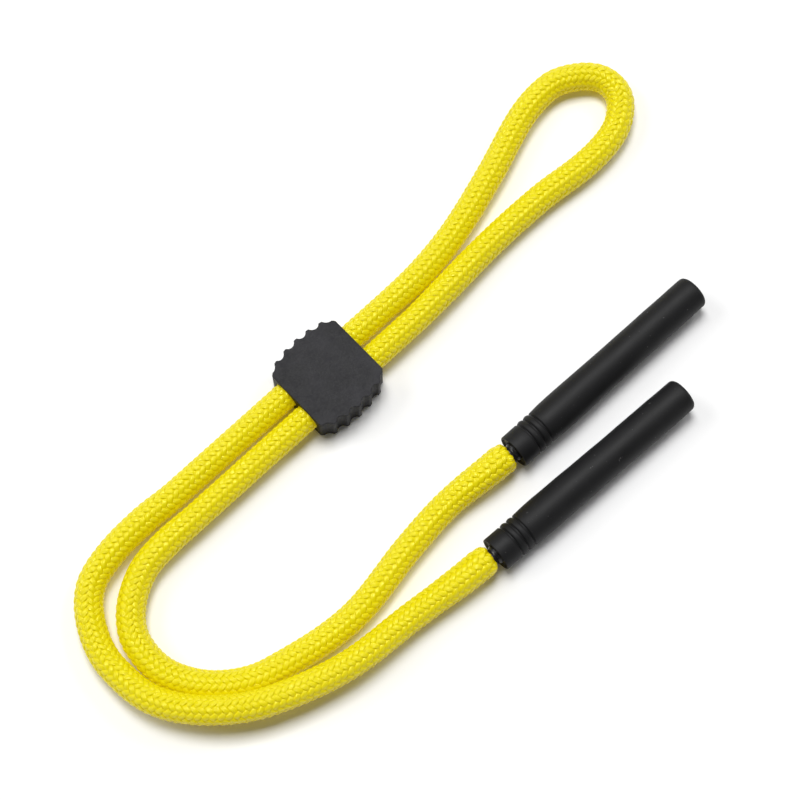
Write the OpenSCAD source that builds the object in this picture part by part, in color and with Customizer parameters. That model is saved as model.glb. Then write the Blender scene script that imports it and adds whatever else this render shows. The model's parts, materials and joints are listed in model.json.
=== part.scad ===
// Eyeglass retainer strap: one braided cord with a rubber sleeve on each end, and a rubber
// slider through which the cord passes twice.
// Origin: centre of the slider's underside, on the surface that the strap lies on.
// +X runs along the slider's holes towards the head loop, +Z is up. Millimetres.

/* [Cord] */
// Diameter of the braided cord
cord_d = 5.5; // [4.8:0.1:5.6]
// Wall thickness of the braided cover
cover_t = 0.8; // [0.5:0.1:1.1]
// Diameter of the cord's end where the ferrule holds it
neck_d = 2.9; // [2.6:0.1:3]
// Sides of the cord's tube
cord_sides = 12; // [8:2:12]

/* [Slider] */
// Length along the holes
slider_l = 17; // [14:0.5:18]
// Width of the flat ends
slider_w = 13.9; // [13.5:0.1:14.5]
// Width across the grip teeth at the middle
grip_w = 18.9; // [17:0.1:20]
// Thickness
slider_t = 7.2; // [6.6:0.1:8]
// Diameter of the two cord holes
hole_d = 5.7; // [5.7:0.05:5.8]
// Distance between the two cord holes
hole_pitch = 6.2; // [6.1:0.1:6.6]
// Teeth along each grip side
teeth = 5; // [3:1:5]
// Distance between neighbouring teeth
tooth_pitch = 3; // [2.6:0.1:3]

/* [Temple sleeves] */
// Length of a sleeve
sleeve_l = 50; // [40:1:60]
// Diameter of the collar at the cord's end
collar_d = 7.3; // [7.1:0.1:7.6]
// Diameter of the body where it is widest
body_d = 7.7; // [7.4:0.1:8]
// Diameter of the body near the tip
tip_d = 7.2; // [6.6:0.1:7.6]
// Diameter of the bore that takes the eyeglass temple
bore_d = 3.2; // [2.4:0.1:4]
// Depth of the bore from the tip
bore_l = 40; // [25:1:40]

/* [Hidden] */
$fn = 64;

// Clearance of a piece that turns or slides on another
run_gap = 0.05;
// Height of the cord's axis where it lies on the surface, and where it is in the slider
lie_z = cord_d / 2;
hole_z = slider_t / 2;
hole_y = hole_pitch / 2;
// Height of a sleeve's axis as the sleeve lies on the surface
sleeve_z = body_d / 2;

// Mouth of each sleeve's collar and the direction of the sleeve in plan
mouth_a = [16, -36.4, sleeve_z];
angle_a = -1;
mouth_b = [-1, -48.8, sleeve_z];
angle_b = -2.5;

// Crimp ferrule, along the sleeve's axis from the mouth
ferrule_from = -1.3;
ferrule_to = 3;
ferrule_d = 4.1;

// End plug: a socket over the ferrule, then two barbs and a nose
plug_from = 0.55;
plug_d = 5.2;
socket_to = 3.6;
barb_d = 4.6;
barb_l = 2.3;
stem_d = 3.4;
nose_to = 9.4;

// Grip rings behind the collar: three grooves leave two rings between them
groove_at = [3.8, 5.4, 7];
groove_w = 0.5;
groove_depth = 0.35;

// Length of the cord that the ferrule holds, and the cord's rounded shoulder in front of it:
// distance from the mouth along the sleeve's axis, distance to its side, share of the full radius
neck_in = 2.2;
shoulder = [[-1.3, 0, neck_d / cord_d], [-1.75, 0.05, 0.82], [-2.3, 0.15, 0.95]];

// The cord's route from sleeve a round the lower bend, through the slider, round the head
// loop, back through the slider and round the outside of the lower bend to sleeve b
route = [
    [12.6, -35.9, 3.8], [0, -35, 3], [-12, -36, lie_z], [-30, -38.5, lie_z], [-48, -35.5, lie_z],
    [-57, -30.5, lie_z], [-62.5, -22.5, lie_z], [-63, -14, lie_z], [-59.5, -8, lie_z], [-53, -4, 3],
    [-46, -3, 3.4], [-38, -hole_y, hole_z], [20, -hole_y, hole_z], [30, -2.5, 3.3],
    [44, -1.5, lie_z], [58, -1.5, lie_z], [70, -2.5, lie_z], [79, -1.5, lie_z], [85, 2.5, lie_z],
    [86, 8, lie_z], [82.5, 12.5, lie_z], [76.5, 15, lie_z], [67.5, 14, lie_z], [54.5, 9.5, lie_z],
    [41, 5.5, lie_z], [30, 3.5, 3.3], [20, hole_y, hole_z], [-38, hole_y, hole_z], [-46, 3.5, 3.4],
    [-55, 3, 3], [-62.5, 0.5, lie_z], [-67.5, -6, lie_z], [-69.5, -14, 3.2], [-68, -24.5, 4.4],
    [-61.5, -33.5, 5.5], [-52, -40, 5.5], [-37, -45, 4.8], [-21, -46.5, 3.8], [-4.4, -48.2, 3.8],
];
// Rings of the tube between two neighbouring points of the route
rings_per_span = 2;

// ---- the cord's sweep

function unit(v) = v / norm(v);
function along(angle) = [cos(angle), sin(angle), 0];
function stretch(i) = route[i + 1] - route[i];

// Direction of the route at point i: along the sleeves at the ends, and between them led by
// the longer of the two stretches that meet there, so that straight stretches stay straight
function heading(i) =
    i == 0 ? -along(angle_a)
    : i == len(route) - 1 ? along(angle_b)
    : unit(stretch(i - 1) * norm(stretch(i - 1)) + stretch(i) * norm(stretch(i)));

// Point at share u between route point i and the next, on a smooth curve through them all
function on_route(i, u) =
    let (a = route[i], b = route[i + 1], span = norm(b - a))
    a * (2 * pow(u, 3) - 3 * pow(u, 2) + 1)
    + heading(i) * span * (pow(u, 3) - 2 * pow(u, 2) + u)
    + b * (3 * pow(u, 2) - 2 * pow(u, 3))
    + heading(i + 1) * span * (pow(u, 3) - pow(u, 2));

// Each ring is [centre, share of the full radius]
function neck_rings(mouth, angle) = concat(
    [[mouth + neck_in * along(angle), neck_d / cord_d]],
    [for (s = shoulder) [mouth + s[0] * along(angle) + s[1] * along(angle + 90), s[2]]]
);
function reversed(list) = [for (i = [len(list) - 1 : -1 : 0]) list[i]];
rings = concat(
    neck_rings(mouth_a, angle_a),
    [for (i = [0 : len(route) - 2], k = [0 : rings_per_span - 1]) [on_route(i, k / rings_per_span), 1]],
    [[route[len(route) - 1], 1]],
    reversed(neck_rings(mouth_b, angle_b))
);

function ring_heading(j) =
    unit(rings[min(j + 1, len(rings) - 1)][0] - rings[max(j - 1, 0)][0]);

// Corners of ring j of a tube of radius r
function ring_points(j, r) =
    let (t = ring_heading(j), side = unit(cross([0, 0, 1], t)), up = cross(t, side))
    [for (k = [0 : cord_sides - 1])
        let (a = 360 * k / cord_sides)
        rings[j][0] + r * rings[j][1] * (cos(a) * side + sin(a) * up)];

function tube_points(r) = [for (j = [0 : len(rings) - 1]) each ring_points(j, r)];

// Triangles of a tube's wall, whose points start at index first
function wall(first) = [
    for (j = [0 : len(rings) - 2], k = [0 : cord_sides - 1])
        let (n = cord_sides, m = (k + 1) % n, a = first + j * n, b = a + n)
        each [[a + k, b + k, b + m], [a + k, b + m, a + m]]
];
function flipped(faces) = [for (f = faces) [f[0], f[2], f[1]]];

// Triangles that join the ends of an outer wall and an inner wall
function rim(outer, inner) = [
    for (k = [0 : cord_sides - 1])
        let (m = (k + 1) % cord_sides)
        each [[outer + k, outer + m, inner + m], [outer + k, inner + m, inner + k]]
];

module braided_cover() {
    count = len(rings) * cord_sides;
    last = count - cord_sides;
    color("gold")
        polyhedron(
            points = concat(tube_points(cord_d / 2), tube_points(cord_d / 2 - cover_t)),
            faces = concat(wall(0), flipped(wall(count)), rim(0, count),
                           flipped(rim(last, count + last)))
        );
}

module cord_core() {
    last = (len(rings) - 1) * cord_sides;
    color("ivory")
        polyhedron(
            points = tube_points(cord_d / 2 - cover_t),
            faces = concat(wall(0), [[for (k = [0 : cord_sides - 1]) k]],
                           [[for (k = [cord_sides - 1 : -1 : 0]) last + k]])
        );
}

// ---- the slider

// Radius of an arc of chord c and rise h
function arc_r(c, h) = (c * c / 4 + h * h) / (2 * h);

module grip_outline() {
    corner_cut = 0.8;
    end_rise = (grip_w - slider_w) / 2 - corner_cut;
    side_r = arc_r(slider_l, end_rise);
    scallop_r = 1.15;
    scallop_depth = 0.75;
    difference() {
        intersection() {
            square([slider_l, grip_w], center = true);
            translate([0, side_r - grip_w / 2]) circle(side_r, $fn = 180);
            translate([0, grip_w / 2 - side_r]) circle(side_r, $fn = 180);
        }
        // scallops between the teeth
        for (side = [-1, 1], i = [0 : teeth]) {
            x = (i - teeth / 2) * tooth_pitch;
            y = sqrt(side_r * side_r - x * x) - side_r + grip_w / 2;
            translate([x, side * (y + scallop_r - scallop_depth)]) circle(scallop_r);
        }
        // corners cut back to the flat ends
        for (sx = [-1, 1], sy = [-1, 1])
            translate([sx * slider_l / 2, sy * (slider_w / 2 + corner_cut)])
                rotate(45) square(corner_cut * sqrt(2), center = true);
    }
}

module slider() {
    color("dimgray")
        difference() {
            linear_extrude(slider_t) grip_outline();
            for (side = [-1, 1])
                translate([0, side * hole_y, hole_z])
                    rotate([0, 90, 0]) cylinder(h = slider_l + 2, d = hole_d, center = true);
        }
}

// ---- the sleeves and what they hold, each turned about X from the sleeve's mouth

// Lays an outline of [distance from the mouth, radius] as a turned solid along a sleeve's axis
module turned(mouth, angle) {
    translate(mouth) rotate([0, 0, angle]) rotate([0, 90, 0]) rotate_extrude() children();
}

// Outline points swapped to [radius, distance from the mouth]
function profile(points) = [for (p = points) [p[1], p[0]]];

module sleeve_outline() {
    collar_r = collar_d / 2;
    body_r = body_d / 2;
    tip_r = tip_d / 2;
    round_r = 0.9;
    lip = 0.25;
    // distance from the mouth of the widest and of the waisted place
    widest = 12;
    waist = 26;
    hole_r = ferrule_d / 2 + 2 * run_gap;
    outer = concat(
        [[0, hole_r], [0, collar_r - lip], [lip, collar_r]],
        [for (g = groove_at) each [
            [g, collar_r], [g + 0.1, collar_r - groove_depth],
            [g + groove_w - 0.1, collar_r - groove_depth], [g + groove_w, collar_r]
        ]],
        [[widest, body_r], [waist, (body_r + tip_r) / 2 - 0.05], [sleeve_l - round_r, tip_r]],
        [for (a = [15 : 15 : 75])
            [sleeve_l - round_r + round_r * sin(a), tip_r - round_r + round_r * cos(a)]],
        [[sleeve_l, tip_r - round_r], [sleeve_l, bore_d / 2], [sleeve_l - bore_l, bore_d / 2]]
    );
    inner = [
        [nose_to + run_gap, stem_d / 2 + run_gap],
        [socket_to + 1 + 2 * barb_l, stem_d / 2 + run_gap],
        [socket_to + 1 + barb_l, barb_d / 2 + run_gap],
        [socket_to + 1 + barb_l - run_gap, stem_d / 2 + run_gap],
        [socket_to + 1 - run_gap, barb_d / 2 + run_gap],
        [socket_to + 1 - run_gap, stem_d / 2 + run_gap],
        [socket_to + run_gap, stem_d / 2 + run_gap],
        [socket_to + run_gap, plug_d / 2 + run_gap],
        [plug_from - run_gap, plug_d / 2 + run_gap],
        [plug_from - run_gap, hole_r]
    ];
    polygon(profile(concat(outer, inner)));
}

module plug_outline() {
    seat_r = ferrule_d / 2 + run_gap;
    polygon(profile([
        [plug_from, seat_r], [plug_from, plug_d / 2], [socket_to, plug_d / 2],
        [socket_to, stem_d / 2], [socket_to + 1, stem_d / 2],
        [socket_to + 1, barb_d / 2], [socket_to + 1 + barb_l, stem_d / 2],
        [socket_to + 1 + barb_l, barb_d / 2], [socket_to + 1 + 2 * barb_l, stem_d / 2],
        [nose_to - 0.4, stem_d / 2], [nose_to, stem_d / 2 - 0.4], [nose_to, 0],
        [ferrule_to, 0], [ferrule_to, seat_r]
    ]));
}

module ferrule_outline() {
    bore_r = neck_d / 2 + run_gap;
    edge = 0.2;
    polygon(profile([
        [ferrule_from, bore_r], [ferrule_from, ferrule_d / 2 - edge],
        [ferrule_from + edge, ferrule_d / 2], [ferrule_to, ferrule_d / 2], [ferrule_to, bore_r]
    ]));
}

module temple_sleeve_a() { color("black") turned(mouth_a, angle_a) sleeve_outline(); }
module temple_sleeve_b() { color("black") turned(mouth_b, angle_b) sleeve_outline(); }
module end_plug_a() { color("darkslategray") turned(mouth_a, angle_a) plug_outline(); }
module end_plug_b() { color("darkslategray") turned(mouth_b, angle_b) plug_outline(); }
module crimp_ferrule_a() { color("slategray") turned(mouth_a, angle_a) ferrule_outline(); }
module crimp_ferrule_b() { color("slategray") turned(mouth_b, angle_b) ferrule_outline(); }

braided_cover();
cord_core();
slider();
temple_sleeve_a();
temple_sleeve_b();
end_plug_a();
end_plug_b();
crimp_ferrule_a();
crimp_ferrule_b();
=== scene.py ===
import json
import math

import bpy
import numpy as np
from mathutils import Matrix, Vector


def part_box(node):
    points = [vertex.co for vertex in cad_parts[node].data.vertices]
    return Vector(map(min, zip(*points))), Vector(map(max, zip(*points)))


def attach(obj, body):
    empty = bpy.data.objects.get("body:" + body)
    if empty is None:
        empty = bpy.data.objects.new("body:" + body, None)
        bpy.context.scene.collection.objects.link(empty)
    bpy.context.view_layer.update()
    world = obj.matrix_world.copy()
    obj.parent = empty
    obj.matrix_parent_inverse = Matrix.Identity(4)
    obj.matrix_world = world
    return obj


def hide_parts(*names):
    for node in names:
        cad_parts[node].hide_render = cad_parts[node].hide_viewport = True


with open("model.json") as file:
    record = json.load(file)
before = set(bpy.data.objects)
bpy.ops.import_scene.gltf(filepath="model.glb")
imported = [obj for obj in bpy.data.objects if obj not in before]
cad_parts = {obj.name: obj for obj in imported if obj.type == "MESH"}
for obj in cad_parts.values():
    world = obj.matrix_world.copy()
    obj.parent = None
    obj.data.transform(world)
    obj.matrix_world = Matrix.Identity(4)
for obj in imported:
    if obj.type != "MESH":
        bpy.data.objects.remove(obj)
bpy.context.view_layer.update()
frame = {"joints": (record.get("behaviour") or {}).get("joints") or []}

MM = 0.001
UP = np.array([0.0, 0.0, 1.0])
joints = {j["name"]: j for j in frame["joints"]}
materials = {}


# ---- camera

AIM = Vector((7.99, -12.4, 0)) * MM
VIEW_AZIMUTH = math.radians(-43.5)
VIEW_ELEVATION = math.radians(73)
VIEW_DISTANCE = 450 * MM
LENS_MM = 101.25


def place_camera():
    """The camera looks down on the strap from the side of the temple sleeves."""
    flat = math.cos(VIEW_ELEVATION)
    back = Vector((
        math.sin(VIEW_AZIMUTH) * flat, -math.cos(VIEW_AZIMUTH) * flat, math.sin(VIEW_ELEVATION)
    ))
    data = bpy.data.cameras.new("camera")
    data.lens = LENS_MM
    data.sensor_width = 36
    camera = bpy.data.objects.new("camera", data)
    bpy.context.scene.collection.objects.link(camera)
    camera.location = AIM + back * VIEW_DISTANCE
    camera.rotation_mode = "QUATERNION"
    camera.rotation_quaternion = (-back).to_track_quat("-Z", "Y")
    bpy.context.scene.camera = camera


# ---- nodes of the finishes


class Value:
    """A socket in a finish's nodes. Arithmetic on it adds Math nodes."""

    def __init__(self, tree, socket):
        self.tree = tree
        self.socket = socket

    def maths(self, operation, *values):
        inputs = dict(enumerate(values))
        return add_node(self.tree, "ShaderNodeMath", {"operation": operation}, inputs)

    def __add__(self, other):
        return self.maths("ADD", self, other)

    def __mul__(self, other):
        return self.maths("MULTIPLY", self, other)

    __radd__ = __add__
    __rmul__ = __mul__


def add_node(tree, kind, settings=None, inputs=None, output=0):
    """Adds a node with its settings, then the values or links of its sockets. Returns one output."""
    node = tree.nodes.new(kind)
    for name, setting in (settings or {}).items():
        if name == "stops":
            ramp = node.color_ramp.elements
            while len(ramp) < len(setting):
                ramp.new(0.5)
            for stop, (place, colour) in zip(ramp, setting):
                stop.position = place
                stop.color = (*colour, 1)
        else:
            setattr(node, name, setting)
    for name, value in (inputs or {}).items():
        if isinstance(value, Value):
            tree.links.new(value.socket, node.inputs[name])
        else:
            node.inputs[name].default_value = value
    return Value(tree, node.outputs[output])


def attribute(tree, name, output="Fac"):
    return add_node(tree, "ShaderNodeAttribute", {"attribute_name": name}, output=output)


def parts_of(tree, vector):
    """The three numbers of a vector."""
    return [add_node(tree, "ShaderNodeSeparateXYZ", inputs={0: vector}, output=k) for k in range(3)]


def vector_of(tree, x, y, z):
    return add_node(tree, "ShaderNodeCombineXYZ", inputs={0: x, 1: y, 2: z})


def noise(tree, vector, scale, detail=2.0, roughness=0.5):
    inputs = {"Vector": vector, "Scale": scale, "Detail": detail, "Roughness": roughness}
    return add_node(tree, "ShaderNodeTexNoise", inputs=inputs)


def mix(tree, share, first, second):
    """The first colour where share is 0 and the second where it is 1."""
    settings = {"data_type": "RGBA", "clamp_factor": True}
    inputs = {0: share, 6: (*first, 1) if isinstance(first, tuple) else first,
              7: (*second, 1) if isinstance(second, tuple) else second}
    return add_node(tree, "ShaderNodeMix", settings, inputs, output=2)


def ramp(tree, value, *stops):
    """A number that follows value through the stops, each (place, number)."""
    grey = [(place, (number, number, number)) for place, number in stops]
    return add_node(tree, "ShaderNodeValToRGB", {"stops": grey}, {0: value})


def bump(tree, height, depth):
    return add_node(tree, "ShaderNodeBump", inputs={"Height": height, "Distance": depth})


def finish(name, build, **constants):
    """A finish whose constants are set on its shader and whose patterns build() returns."""
    made = bpy.data.materials.new(name)
    made.use_nodes = True
    shader = made.node_tree.nodes["Principled BSDF"]
    for socket, value in constants.items():
        shader.inputs[socket.replace("_", " ")].default_value = value
    for socket, value in build(made.node_tree).items():
        made.node_tree.links.new(value.socket, shader.inputs[socket])
    materials[name] = made


def object_place(tree):
    return add_node(tree, "ShaderNodeTexCoord", output=3)


# ---- finishes


LEMON = (0.66, 0.61, 0.002)
# the yarn's colour in painted shade, put where it dives under the yarns that cross it
LEMON_PAINTED_SHADE = (0.62, 0.47, 0.001)
# painted glow: the amber light the cover gives off, in place of yellow light bounced between its
# yarns and into its shade
PAINTED_AMBER_GLOW = (1, 0.68, 0, 1)
FIBRE_GLINT = (1, 0.98, 0.38, 1)
FIBRE_SHINE = 0.95
RUBBER_SHINE = 0.22


def cover_yarn_pattern(tree):
    """Yellow polyester yarn: fine filaments along it, and painted shade, a deeper amber, where it
    dives under the yarns that cross it.
    """
    along, across, lift = parts_of(tree, attribute(tree, "lay", "Vector"))
    tone = attribute(tree, "tone")
    filaments = noise(tree, vector_of(tree, along * 0.9, across * 9.0, tone * 40.0), 1.0, 3.0, 0.6)
    cloud = noise(tree, vector_of(tree, along * 0.35, tone * 30.0, across), 1.0, 2.0)
    # painted shade: the lower a yarn lies, the more of the deeper amber colour it takes
    height = ramp(tree, lift * 0.5 + 0.5, (0.0, 0.0), (0.75, 1.0))
    share = height * (0.72 + 0.25 * cloud) + 0.2 * filaments
    return {
        "Base Color": mix(tree, share, LEMON_PAINTED_SHADE, LEMON),
        "Roughness": 0.12 + 0.16 * filaments,
        "Normal": bump(tree, filaments, 0.00011),
    }


def core_yarn_pattern(tree):
    place = object_place(tree)
    strands = noise(tree, place, 900.0, 3.0)
    return {
        "Base Color": mix(tree, strands, (0.62, 0.58, 0.47), (0.86, 0.84, 0.77)),
        "Roughness": 0.7 + 0.2 * strands,
        "Normal": bump(tree, strands, 0.0001),
    }


def slider_rubber_pattern(tree):
    """Charcoal moulded rubber: a fine sparked grain, faint scuffs and shallow sinks."""
    place = object_place(tree)
    grain = noise(tree, place, 2600.0, 3.0, 0.6)
    cloud = ramp(tree, noise(tree, place, 240.0, 4.0, 0.6), (0.35, 0.0), (0.68, 1.0))
    sink = ramp(tree, noise(tree, place, 75.0, 1.0), (0.3, 0.0), (0.7, 1.0))
    scuff = ramp(tree, noise(tree, place, 900.0, 4.0, 0.7), (0.5, 0.0), (0.7, 1.0))
    shade = cloud * 0.35 + sink * 0.4 + scuff * 0.3
    return {
        "Base Color": mix(tree, shade, (0.004, 0.004, 0.0047), (0.027, 0.026, 0.0315)),
        "Roughness": 0.42 + 0.2 * grain + 0.12 * scuff,
        "Normal": bump(tree, grain * 0.7 + cloud * 0.5 + sink * 3.0, 0.00009),
    }


def sleeve_rubber_pattern(tree):
    """Black silicone rubber: satin, with soft moulding ripples and specks of dust."""
    place = object_place(tree)
    grain = noise(tree, place, 3000.0, 2.0)
    ripple = noise(tree, place, 110.0, 2.0)
    specks = ramp(tree, noise(tree, place, 1500.0, 1.0), (0.74, 0.0), (0.8, 1.0))
    cloud = noise(tree, place, 220.0, 3.0)
    base = mix(tree, cloud, (0.008, 0.008, 0.0085), (0.014, 0.014, 0.0145))
    return {
        "Base Color": mix(tree, specks * 0.6, base, (0.11, 0.11, 0.11)),
        "Roughness": 0.44 + 0.14 * cloud + 0.08 * grain,
        "Normal": bump(tree, grain * 0.25 + ripple, 0.00008),
    }


def nylon_pattern(tree):
    place = object_place(tree)
    grain = noise(tree, place, 2600.0, 2.0)
    return {
        "Base Color": mix(tree, grain, (0.02, 0.02, 0.021), (0.04, 0.04, 0.04)),
        "Roughness": 0.42 + 0.15 * grain,
        "Normal": bump(tree, grain, 0.00003),
    }


def blackened_pattern(tree):
    """Blackened crimped metal, rubbed bright in scattered patches."""
    place = object_place(tree)
    scratches = noise(tree, place, 1900.0, 4.0, 0.7)
    rubbed = ramp(tree, scratches, (0.5, 0.0), (0.75, 1.0))
    return {
        "Base Color": mix(tree, rubbed, (0.016, 0.016, 0.017), (0.13, 0.125, 0.12)),
        "Roughness": 0.2 + 0.25 * scratches,
        "Metallic": 0.4 + 0.5 * rubbed,
        "Normal": bump(tree, scratches, 0.00003),
    }


def tabletop_pattern(tree):
    place = object_place(tree)
    mottle = noise(tree, place, 40.0, 2.0)
    return {
        "Base Color": mix(tree, mottle, (0.93, 0.93, 0.93), (0.95, 0.95, 0.95)),
        "Roughness": 0.62 + 0.1 * mottle,
    }


def make_finishes():
    # the cover has a painted glow, a faint amber light of its own that stands in for the yellow light
    # bounced into its gaps and shade, and light glancing through the fibres takes its colour
    finish(
        "cover_yarn", cover_yarn_pattern, Emission_Color=PAINTED_AMBER_GLOW, Emission_Strength=0.19,
        Specular_IOR_Level=FIBRE_SHINE, Specular_Tint=FIBRE_GLINT,
    )
    finish("core_yarn", core_yarn_pattern)
    finish("slider_rubber", slider_rubber_pattern, Specular_IOR_Level=RUBBER_SHINE)
    finish("sleeve_rubber", sleeve_rubber_pattern, Specular_IOR_Level=RUBBER_SHINE)
    finish("plug_nylon", nylon_pattern)
    finish("blackened_metal", blackened_pattern)
    finish("tabletop", tabletop_pattern)


def wear(piece, name):
    """Gives a piece one finish."""
    piece.data.materials.clear()
    piece.data.materials.append(materials[name])


# ---- the cord's line

# The cord's route from sleeve a to sleeve b, as the CAD cord's, and the sleeves' axes
LIE = 2.75
HOLE_Y = 3.1
HOLE_Z = 3.6
ROUTE = MM * np.array([
    [12.6, -35.9, 3.8], [0, -35, 3], [-12, -36, LIE], [-30, -38.5, LIE], [-48, -35.5, LIE],
    [-57, -30.5, LIE], [-62.5, -22.5, LIE], [-63, -14, LIE], [-59.5, -8, LIE], [-53, -4, 3],
    [-46, -3, 3.4], [-38, -HOLE_Y, HOLE_Z], [20, -HOLE_Y, HOLE_Z], [30, -2.5, 3.3],
    [44, -1.5, LIE], [58, -1.5, LIE], [70, -2.5, LIE], [79, -1.5, LIE], [85, 2.5, LIE],
    [86, 8, LIE], [82.5, 12.5, LIE], [76.5, 15, LIE], [67.5, 14, LIE], [54.5, 9.5, LIE],
    [41, 5.5, LIE], [30, 3.5, 3.3], [20, HOLE_Y, HOLE_Z], [-38, HOLE_Y, HOLE_Z], [-46, 3.5, 3.4],
    [-55, 3, 3], [-62.5, 0.5, LIE], [-67.5, -6, LIE], [-69.5, -14, 3.2], [-68, -24.5, 4.4],
    [-61.5, -33.5, 5.5], [-52, -40, 5.5], [-37, -45, 4.8], [-21, -46.5, 3.8], [-4.4, -48.2, 3.8],
])
# How far the ferrule and the cord's end reach into a sleeve, and how far the ferrule stands out
NECK_IN = 2.0 * MM
NECK_OUT = 1.3 * MM
STEPS = 40
# The slider has packed the two straight stretches, and beyond them the cord is a little plumper:
# points of the route, and the share of the cord's thickness there
PACKED_POINTS = [10, 11, 12, 13, 25, 26, 27, 28]
PACKED = [1.04, 0.985, 0.985, 1.04, 1.04, 0.985, 0.985, 1.04]
# Twist of the cover: (share of the cord's length, degrees)
TWIST = [
    (0, -17), (0.12, -17), (0.25, -39), (0.48, -39), (0.57, -16), (0.83, -16), (0.92, -22), (1, -22),
]


def unit(v):
    return v / np.linalg.norm(v, axis=-1, keepdims=True)


def smooth_line(points, ends):
    """Close points on a smooth curve through the points, with the headings that ends gives."""
    stretch = np.diff(points, axis=0)
    span = np.linalg.norm(stretch, axis=1)[:, None]
    led = stretch * span
    heading = unit(np.vstack([led[:1], led[:-1] + led[1:], led[-1:]]))
    for place, direction in ends.items():
        heading[place] = direction
    u = (np.arange(STEPS) / STEPS)[:, None]
    line = []
    for a, b, ha, hb, size in zip(points, points[1:], heading, heading[1:], span):
        line.append(
            a * (2 * u**3 - 3 * u**2 + 1) + ha * size * (u**3 - 2 * u**2 + u)
            + b * (3 * u**2 - 2 * u**3) + hb * size * (u**3 - u**2)
        )
    return np.vstack([*line, points[-1:]])


def mouth_of(side):
    """A sleeve's mouth, and the direction from there to its tip."""
    joint = joints[f"sleeve_{side}_swivel"]
    return joint["pos_m"], joint["axis"]


class CordLine:
    """The cord's centreline, with its frame and its thickness at any distance along it."""

    def __init__(self):
        mouth_a, out_a = np.array(mouth_of("a"))
        mouth_b, out_b = np.array(mouth_of("b"))
        out_a, out_b = unit(out_a), unit(out_b)
        points = np.vstack([
            mouth_a + NECK_IN * out_a, mouth_a - NECK_OUT * out_a, ROUTE,
            mouth_b - NECK_OUT * out_b, mouth_b + NECK_IN * out_b,
        ])
        ends = {0: -out_a, 1: -out_a, 2: -out_a, -3: out_b, -2: out_b, -1: out_b}
        self.line = smooth_line(points, ends)
        steps = np.linalg.norm(np.diff(self.line, axis=0), axis=1)
        self.at = np.concatenate([[0], np.cumsum(steps)])
        self.length = self.at[-1]
        self.packed_at = self.at[STEPS * (2 + np.array(PACKED_POINTS))]
        # share of the full radius against the distance past the ferrule's face
        self.swell_at = np.array([-9, -0.05, 0.05, 0.2, 0.5, 1.0, 2, 7, 14]) * MM
        self.swell = np.array([0.46, 0.5, 0.75, 0.92, 1.01, 1.06, 1.1, 1.08, 1.01])

    def twist(self, s):
        """How far the cover is turned about the cord, as the bends have left it."""
        shares, degrees = zip(*TWIST)
        return np.radians(np.interp(s / self.length, shares, degrees))

    def place(self, s):
        return np.stack([np.interp(s, self.at, self.line[:, k]) for k in range(3)], axis=-1)

    def frame(self, s):
        """The directions to the cord's side and to its upper side."""
        ahead = unit(self.place(s + 0.3 * MM) - self.place(s - 0.3 * MM))
        side = unit(np.cross(UP, ahead))
        return side, np.cross(ahead, side)

    def share(self, s):
        past = np.minimum(s, self.length - s) - NECK_IN - NECK_OUT
        return np.interp(past, self.swell_at, self.swell) * np.interp(s, self.packed_at, PACKED)

    def around(self, s, angle, radius):
        """Points at that angle round the cord, and the outward directions there."""
        side, up = self.frame(s)
        outward = np.cos(angle)[:, None] * side + np.sin(angle)[:, None] * up
        return self.place(s) + (radius * self.share(s))[:, None] * outward, outward


# ---- the braided cover

YARNS_EACH_WAY = 12
LEAD = 16.8 * MM
WAVES = 6
STATIONS_PER_WAVE = 10
MIDDLE_R = 2.32 * MM
RISE = 0.25 * MM
YARN_W = 1.2 * MM
YARN_T = 0.5 * MM
# How much flatter than a plain wave a yarn's rise is at its top, and how far it strays from it
FLAT_TOP = 0.15
STRAY = 0.012
SWAY = 0.02
END_TRIM = 0.02 * MM
SEED = 11
# A yarn's section: shares of its half width across, of its half thickness outwards
SECTION = np.array([[-1, 0.05], [-0.62, 0.72], [0, 1], [0.62, 0.72], [1, 0.05], [0, -0.9]])


def tube_faces(rings, sides, first=0):
    """Quads of a closed tube's wall, and its two end faces."""
    faces = []
    for j in range(rings - 1):
        a, b = first + j * sides, first + (j + 1) * sides
        faces += [(a + k, a + (k + 1) % sides, b + (k + 1) % sides, b + k) for k in range(sides)]
    last = first + (rings - 1) * sides
    faces.append(tuple(first + k for k in reversed(range(sides))))
    faces.append(tuple(last + k for k in range(sides)))
    return faces


def mesh_piece(name, points, faces, finish_name):
    mesh = bpy.data.meshes.new(name)
    mesh.from_pydata(points.tolist(), [], faces)
    mesh.polygons.foreach_set("use_smooth", np.ones(len(mesh.polygons), bool))
    mesh.update()
    piece = bpy.data.objects.new(name, mesh)
    bpy.context.scene.collection.objects.link(piece)
    wear(piece, finish_name)
    return piece


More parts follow.
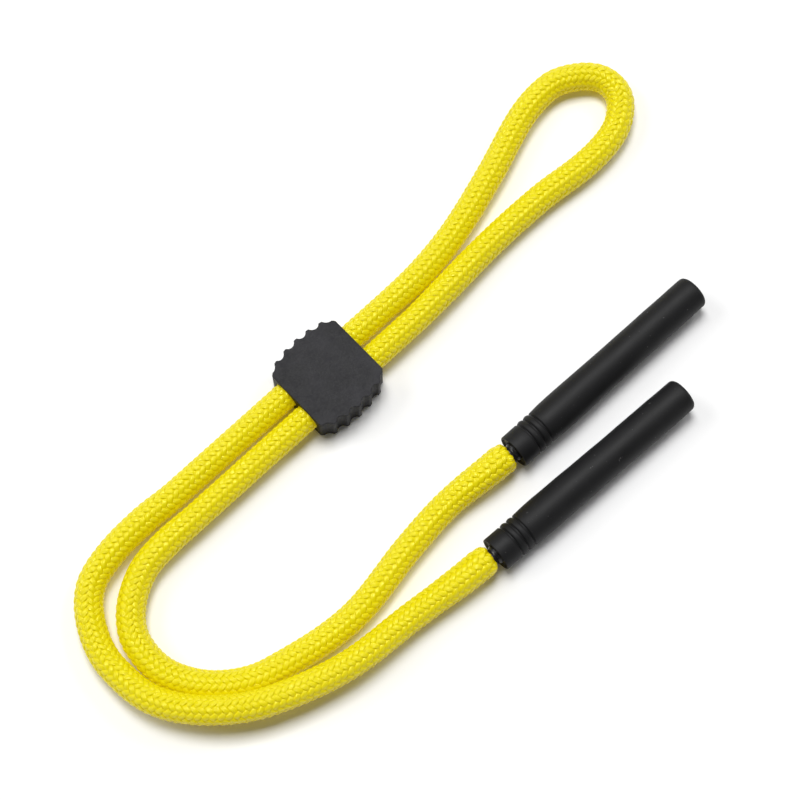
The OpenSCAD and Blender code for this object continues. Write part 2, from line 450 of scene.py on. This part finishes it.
def yarn(cord, way, number, rng):
    """One yarn of the braid, over two and under two of those that cross it.

    Returns its points, its lay (mm along it, share across it, lift) and its tone."""
    rings = int(cord.length / LEAD * WAVES * STATIONS_PER_WAVE)
    s = np.linspace(END_TRIM, cord.length - END_TRIM, rings)
    half_step = math.pi / (2 * YARNS_EACH_WAY) * (1 - way)
    angle = 2 * math.pi * number / YARNS_EACH_WAY + half_step + way * 2 * math.pi * s / LEAD
    wave = way * np.cos(WAVES * angle)
    lift = wave * (1 + FLAT_TOP - FLAT_TOP * wave**2)
    angle = angle + cord.twist(s)
    wander = rng.normal(0, STRAY, rings) + SWAY * np.sin(s / LEAD * 3.1 + rng.uniform(0, 6))
    radius = MIDDLE_R + RISE * (lift + wander)
    centre, outward = cord.around(s, angle, radius)
    ahead = unit(np.gradient(centre, axis=0))
    side = unit(np.cross(ahead, outward))
    outward = np.cross(side, ahead)
    # the yarns spread on the outside of a bend and crowd on its inside
    nudge = 0.2 * MM
    after, before = cord.around(s + nudge, angle, radius)[0], cord.around(s - nudge, angle, radius)[0]
    room = np.linalg.norm(after - before, axis=1) / (2 * nudge)
    half_w = 0.5 * YARN_W * cord.share(s) * np.clip(room, 0.55, 1.5) ** 0.75
    half_t = 0.5 * YARN_T * cord.share(s)
    points = (
        centre[:, None, :]
        + half_w[:, None, None] * SECTION[None, :, :1] * side[:, None, :]
        + half_t[:, None, None] * SECTION[None, :, 1:] * outward[:, None, :]
    )
    run = np.concatenate([[0], np.cumsum(np.linalg.norm(np.diff(centre, axis=0), axis=1))]) / MM
    sides = len(SECTION)
    lay = np.empty((rings, sides, 3))
    lay[..., 0] = run[:, None]
    lay[..., 1] = SECTION[None, :, 0]
    lay[..., 2] = lift[:, None]
    tone = np.full(rings * sides, rng.random())
    return points.reshape(-1, 3), lay.reshape(-1, 3), tone, rings


def braid_piece(cord, name, way, numbers, rng):
    """Several yarns of one way as one piece."""
    points, lays, tones, faces, count = [], [], [], [], 0
    for number in numbers:
        p, lay, tone, rings = yarn(cord, way, number, rng)
        faces += tube_faces(rings, len(SECTION), count)
        count += len(p)
        points.append(p)
        lays.append(lay)
        tones.append(tone)
    points = np.vstack(points)
    # a cord that rests on a table is a little flat where it touches it
    points[:, 2] = np.maximum(points[:, 2], 0.01 * MM)
    piece = mesh_piece(name, points, faces, "cover_yarn")
    lay = piece.data.attributes.new("lay", "FLOAT_VECTOR", "POINT")
    lay.data.foreach_set("vector", np.vstack(lays).astype(np.float32).ravel())
    tone = piece.data.attributes.new("tone", "FLOAT", "POINT")
    tone.data.foreach_set("value", np.concatenate(tones).astype(np.float32))
    return piece


CORE_SIDES = 18
CORE_R = 1.92 * MM
CORE_STEP = 1.2 * MM
FLUTE_DEPTH = 0.05


def make_core(cord):
    """The straight yarns inside the cover, a fluted bundle."""
    rings = int(cord.length / CORE_STEP)
    s = np.linspace(0.05 * MM, cord.length - 0.05 * MM, rings)
    flute = 1 - FLUTE_DEPTH * (np.arange(CORE_SIDES) % 2)
    columns = []
    for k in range(CORE_SIDES):
        angle = np.full(rings, 2 * math.pi * k / CORE_SIDES)
        columns.append(cord.around(s, angle, np.full(rings, CORE_R * flute[k]))[0])
    points = np.stack(columns, axis=1).reshape(-1, 3)
    return mesh_piece("cord_core_yarns", points, tube_faces(rings, CORE_SIDES), "core_yarn")


def make_cord():
    cord = CordLine()
    rng = np.random.default_rng(SEED)
    half = YARNS_EACH_WAY // 2
    cover = [
        braid_piece(cord, "braid_right_lay_1", 1, range(half), rng),
        braid_piece(cord, "braid_right_lay_2", 1, range(half, 2 * half), rng),
        braid_piece(cord, "braid_left_lay_1", -1, range(half), rng),
        braid_piece(cord, "braid_left_lay_2", -1, range(half, 2 * half), rng),
    ]
    for piece in cover:
        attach(piece, "cord")
        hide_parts("braided_cover")
    core = make_core(cord)
    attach(core, "cord")
    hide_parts("cord_core")
    return cord, cover, core


# ---- turned and moulded pieces


def start(name, radius, at, axis, sides):
    """A circle across an axis, alone selected in edit mode: the first ring of a turned piece."""
    bpy.ops.object.select_all(action="DESELECT")
    turn = Vector(axis).to_track_quat("Z", "Y").to_euler()
    bpy.ops.mesh.primitive_circle_add(
        vertices=sides, radius=radius, fill_type="NOTHING", location=at, rotation=turn
    )
    piece = bpy.context.object
    piece.name = piece.data.name = name
    bpy.ops.object.transform_apply(location=True, rotation=True, scale=True)
    bpy.ops.object.mode_set(mode="EDIT")
    bpy.ops.mesh.select_all(action="SELECT")
    return piece


def turned(name, profile, mouth, axis, sides):
    """A piece turned about a sleeve's axis from its profile: (mm from the mouth, radius in mm).

    The profile's end is joined to its start, which closes the piece."""
    axis = axis.normalized()
    s0, r0 = profile[0]
    piece = start(name, r0 * MM, mouth + axis * s0 * MM, axis, sides)
    for s, r in profile[1:]:
        bpy.ops.mesh.extrude_edges_move()
        bpy.ops.transform.translate(value=axis * (s - s0) * MM)
        centre = mouth + axis * s * MM
        bpy.ops.transform.resize(value=(r / r0,) * 3, center_override=centre)
        s0, r0 = s, r
    bpy.ops.mesh.select_non_manifold(extend=True)
    bpy.ops.mesh.bridge_edge_loops()
    bpy.ops.mesh.select_all(action="SELECT")
    bpy.ops.mesh.normals_make_consistent(inside=False)
    bpy.ops.object.mode_set(mode="OBJECT")
    bpy.ops.object.shade_smooth_by_angle(angle=math.radians(40))
    return piece


def arc(centre, radius, first, last, steps):
    """Points (s, r) round a centre, from one angle to another in degrees."""
    angles = [math.radians(first + (last - first) * k / steps) for k in range(steps + 1)]
    return [(centre[0] + radius * math.cos(a), centre[1] + radius * math.sin(a)) for a in angles]


SLEEVE_L = 50.0
COLLAR_R = 3.65
RIB_R = 3.76
GROOVES_AT = (3.8, 5.4, 7.0)
BODY_R = 3.85
TIP_R = 3.6
BORE_R = 1.6
BORE_FROM = 10.0


def groove(at):
    """A rounded groove in the collar's surface."""
    width, depth, lip = 0.5, 0.34, 0.12
    return [
        (at - lip, COLLAR_R), (at - 0.02, COLLAR_R - 0.05), (at + 0.06, COLLAR_R - 0.22),
        (at + 0.14, COLLAR_R - depth), (at + width - 0.14, COLLAR_R - depth),
        (at + width - 0.06, COLLAR_R - 0.22), (at + width + 0.02, COLLAR_R - 0.05),
        (at + width + lip, COLLAR_R),
    ]


def sleeve_profile():
    """The sleeve's outside from its mouth to its tip, then its bore back to the mouth."""
    outside = [(0.35, 2.2), (0.35, 2.6), (0.32, 3.0), (0.1, 3.2)]
    outside += arc((0.15, COLLAR_R - 0.15), 0.15, 200, 90, 4)
    outside += [(1.2, COLLAR_R), (2.4, COLLAR_R)]
    for at in GROOVES_AT:
        outside += groove(at)
        outside += [(at + 1.05, RIB_R)] if at < GROOVES_AT[-1] else []
    body = [(8.6, 3.72), (10, 3.8), (12, BODY_R), (15, 3.83), (19, 3.76), (23, 3.7), (27, 3.67),
            (31, 3.66), (35, 3.65), (39, 3.64), (43, 3.62), (46, 3.61), (48, TIP_R)]
    outside += body
    outside += arc((SLEEVE_L - 0.9, TIP_R - 0.9), 0.9, 90, 0, 7)
    outside += arc((SLEEVE_L - 0.3, BORE_R + 0.3), 0.3, 0, -90, 3)
    inside = [(48, BORE_R), (40, BORE_R), (30, BORE_R), (20, BORE_R), (BORE_FROM, BORE_R),
              (9.5, 1.7), (9.25, 1.78), (7.05, 2.37), (6.83, 2.37), (6.83, 1.8), (4.75, 2.37),
              (4.53, 2.37), (4.53, 1.78), (3.7, 1.78), (3.65, 2.65), (0.52, 2.65), (0.52, 2.2)]
    return outside + inside


def make_sleeve(side):
    mouth, axis = map(Vector, mouth_of(side))
    piece = turned(f"rubber_sleeve_{side}", sleeve_profile(), mouth, axis, 72)
    soften(piece, mouth, axis, RIPPLE_START[side])
    wear(piece, "sleeve_rubber")
    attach(piece, f"sleeve_{side}")
    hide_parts(f"temple_sleeve_{side}")


RIPPLE_START = {"a": 1.7, "b": 4.1}
RIPPLE_DEPTHS = (0.03, 0.02)


def soften(piece, mouth, axis, begin):
    """Moves a moulded sleeve's wall in and out a few hundredths, as soft rubber lies."""
    for vertex in piece.data.vertices:
        away = vertex.co - mouth
        s = away.dot(axis) / MM
        out = away - axis * away.dot(axis)
        if out.length < 3 * MM:
            continue
        angle = math.atan2(out.z, out.dot(axis.cross(Vector(UP))))
        amount = RIPPLE_DEPTHS[0] * math.sin(s * 0.31 + begin) * math.cos(2 * angle + begin)
        amount += RIPPLE_DEPTHS[1] * math.sin(s * 0.83 + 2 * begin + angle)
        vertex.co += out.normalized() * amount * MM * min(1, max(0, (s - 8) / 4))


def make_ferrule(side):
    """The blackened ring on the cord's end, with the round groove of its crimp."""
    mouth, axis = map(Vector, mouth_of(side))
    profile = [(-1.3, 1.5), (-1.3, 1.7), (-1.26, 1.86), (-1.16, 1.96), (-1.0, 2.02), (-0.85, 1.98),
               (-0.7, 1.86), (-0.5, 1.82), (-0.3, 1.86), (-0.15, 1.98), (0.0, 2.03), (0.4, 2.05),
               (2.9, 2.05), (3.0, 1.98), (3.0, 1.5)]
    piece = turned(f"crimped_ring_{side}", profile, mouth, axis, 48)
    wear(piece, "blackened_metal")
    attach(piece, "cord")
    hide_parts(f"crimp_ferrule_{side}")
    return piece


def make_plug(side):
    """The barbed plug that locks the cord's end in the sleeve."""
    mouth, axis = map(Vector, mouth_of(side))
    profile = [(0.55, 2.1), (0.55, 2.5), (0.65, 2.6), (3.5, 2.6), (3.6, 2.5), (3.6, 1.7), (4.6, 1.7),
               (4.6, 2.28), (4.7, 2.3), (6.9, 1.7), (6.9, 2.28), (7.0, 2.3), (9.2, 1.7), (9.3, 1.6),
               (9.4, 1.3), (9.4, 0.2), (3.05, 0.2), (3.05, 2.1)]
    piece = turned(f"barbed_plug_{side}", profile, mouth, axis, 48)
    wear(piece, "plug_nylon")
    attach(piece, "cord")
    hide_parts(f"end_plug_{side}")
    return piece


# ---- the slider

SLIDER_L = 17.0
FLAT_END_W = 13.9
GRIP_W = 18.9
TEETH = 5
TOOTH_PITCH = 3.0
TOOTH_DEPTH = 0.75
TOOTH_GAP = 1.12
EDGE_POINTS = 80
HOLE_R = 2.85
RIM_R = 0.34
RIM_INSET = 0.12
BIG_FACE = 20 * MM * MM


def grip_side():
    """Half of the slider's outline, from end to end along the +Y side: (x, y) in mm."""
    half_l, corner = SLIDER_L / 2, 0.9
    rise = (GRIP_W - FLAT_END_W) / 2 - corner
    bow_r = (half_l**2 + rise**2) / (2 * rise)
    points = [(half_l, FLAT_END_W / 2 - 0.3), (half_l - 0.1, FLAT_END_W / 2)]
    for k in range(EDGE_POINTS + 1):
        x = half_l - 0.55 - (SLIDER_L - 1.1) * k / EDGE_POINTS
        bow = GRIP_W / 2 - bow_r + math.sqrt(bow_r**2 - x**2)
        phase = (x / TOOTH_PITCH + TEETH / 2) % 1
        edge = min(phase, 1 - phase) * TOOTH_PITCH
        scallop = max(0.0, 1 - (edge / TOOTH_GAP) ** 2) ** 0.75 * TOOTH_DEPTH
        points.append((x, bow - scallop))
    points += [(-half_l + 0.1, FLAT_END_W / 2), (-half_l, FLAT_END_W / 2 - 0.3)]
    return points


def make_slider():
    """A toothed block with softly rounded rims and two holes for the cord."""
    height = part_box("slider")[1].z
    outline = grip_side()
    outline += [(-x, -y) for x, y in outline]
    piece = start("ribbed_slider", 1.0, (0, 0, 0), (0, 0, 1), len(outline))
    bpy.ops.mesh.edge_face_add()
    bpy.ops.object.mode_set(mode="OBJECT")
    for vertex, (x, y) in zip(piece.data.vertices, outline):
        vertex.co = Vector((x, y, 0)) * MM
    bpy.ops.object.mode_set(mode="EDIT")
    bpy.ops.mesh.select_all(action="SELECT")
    bpy.ops.mesh.extrude_region_move(TRANSFORM_OT_translate={"value": (0, 0, height)})
    bpy.ops.mesh.select_all(action="SELECT")
    bpy.ops.mesh.normals_make_consistent(inside=False)
    bpy.ops.object.mode_set(mode="OBJECT")
    for y in (-HOLE_Y, HOLE_Y):
        bore(piece, y)
    round_rims(piece)
    wear(piece, "slider_rubber")
    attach(piece, "slider")
    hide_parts("slider")


def bore(piece, y):
    """Cuts one cord hole through the slider."""
    bpy.ops.object.select_all(action="DESELECT")
    bpy.ops.mesh.primitive_cylinder_add(
        vertices=64, radius=HOLE_R * MM, depth=(SLIDER_L + 4) * MM,
        location=(0, y * MM, HOLE_Z * MM), rotation=(0, math.pi / 2, 0),
    )
    drill = bpy.context.object
    bpy.context.view_layer.objects.active = piece
    cut = piece.modifiers.new("cord_hole", "BOOLEAN")
    cut.object = drill
    cut.solver = "EXACT"
    bpy.ops.object.modifier_apply(modifier=cut.name)
    bpy.data.objects.remove(drill)


def round_rims(piece):
    """Rounds the slider's sharp rims and smooths what is left."""
    bpy.ops.object.select_all(action="DESELECT")
    piece.select_set(True)
    bpy.context.view_layer.objects.active = piece
    rims = piece.modifiers.new("rims", "BEVEL")
    rims.width = RIM_R * MM
    rims.segments = 3
    rims.limit_method = "ANGLE"
    rims.angle_limit = math.radians(50)
    bpy.ops.object.modifier_apply(modifier=rims.name)
    bpy.ops.object.mode_set(mode="EDIT")
    bpy.ops.mesh.select_all(action="DESELECT")
    bpy.ops.object.mode_set(mode="OBJECT")
    for face in piece.data.polygons:
        face.select = abs(face.normal.z) > 0.999 and face.area > BIG_FACE
    bpy.ops.object.mode_set(mode="EDIT")
    bpy.ops.mesh.inset(thickness=RIM_INSET * MM)
    bpy.ops.object.mode_set(mode="OBJECT")
    bpy.ops.object.shade_smooth_by_angle(angle=math.radians(35))


# ---- table and light


TABLE_WIDTH = 6


def make_table():
    bpy.ops.object.select_all(action="DESELECT")
    bpy.ops.mesh.primitive_plane_add(size=TABLE_WIDTH, location=(0, 0, 0))
    table = bpy.context.object
    table.name = "tabletop"
    wear(table, "tabletop")


# Softboxes round the table: name, degrees clockwise from the far side as the camera sees it,
# degrees of elevation, width in metres, share of the table's light
SOFTBOXES = [
    ("key", -14, 72, 1.3, 0.74),
    ("left_fill", -75, 42, 1.4, 0.2),
    ("right_fill", 50, 42, 0.9, 0.13),
]
SOFTBOX_DISTANCE = 3.0
WORLD_LIGHT = 0.13


def softbox(name, bearing, elevation, width, share):
    """A square light that adds its share to a white table's brightness."""
    turn = math.pi / 2 + VIEW_AZIMUTH - math.radians(bearing)
    rise = math.radians(elevation)
    away = Vector((math.cos(turn) * math.cos(rise), math.sin(turn) * math.cos(rise), math.sin(rise)))
    data = bpy.data.lights.new(name, "AREA")
    data.shape = "SQUARE"
    data.size = width
    data.energy = share * (math.pi * SOFTBOX_DISTANCE) ** 2 / math.sin(rise)
    light = bpy.data.objects.new(name, data)
    bpy.context.scene.collection.objects.link(light)
    light.location = AIM + away * SOFTBOX_DISTANCE
    light.rotation_mode = "QUATERNION"
    light.rotation_quaternion = (-away).to_track_quat("-Z", "Y")


def light_studio():
    world = bpy.data.worlds.new("studio")
    bpy.context.scene.world = world
    world.use_nodes = True
    world.node_tree.nodes["Background"].inputs["Color"].default_value = (1, 1, 1, 1)
    world.node_tree.nodes["Background"].inputs["Strength"].default_value = WORLD_LIGHT
    for box in SOFTBOXES:
        softbox(*box)
    bpy.context.scene.view_settings.view_transform = "Standard"


place_camera()
make_finishes()
cord, cover, core = make_cord()
make_table()
light_studio()
make_slider()
fittings = []
for side in "ab":
    make_sleeve(side)
    fittings += [make_ferrule(side), make_plug(side)]
cord.place(np.linspace(0, cord.length, 600))
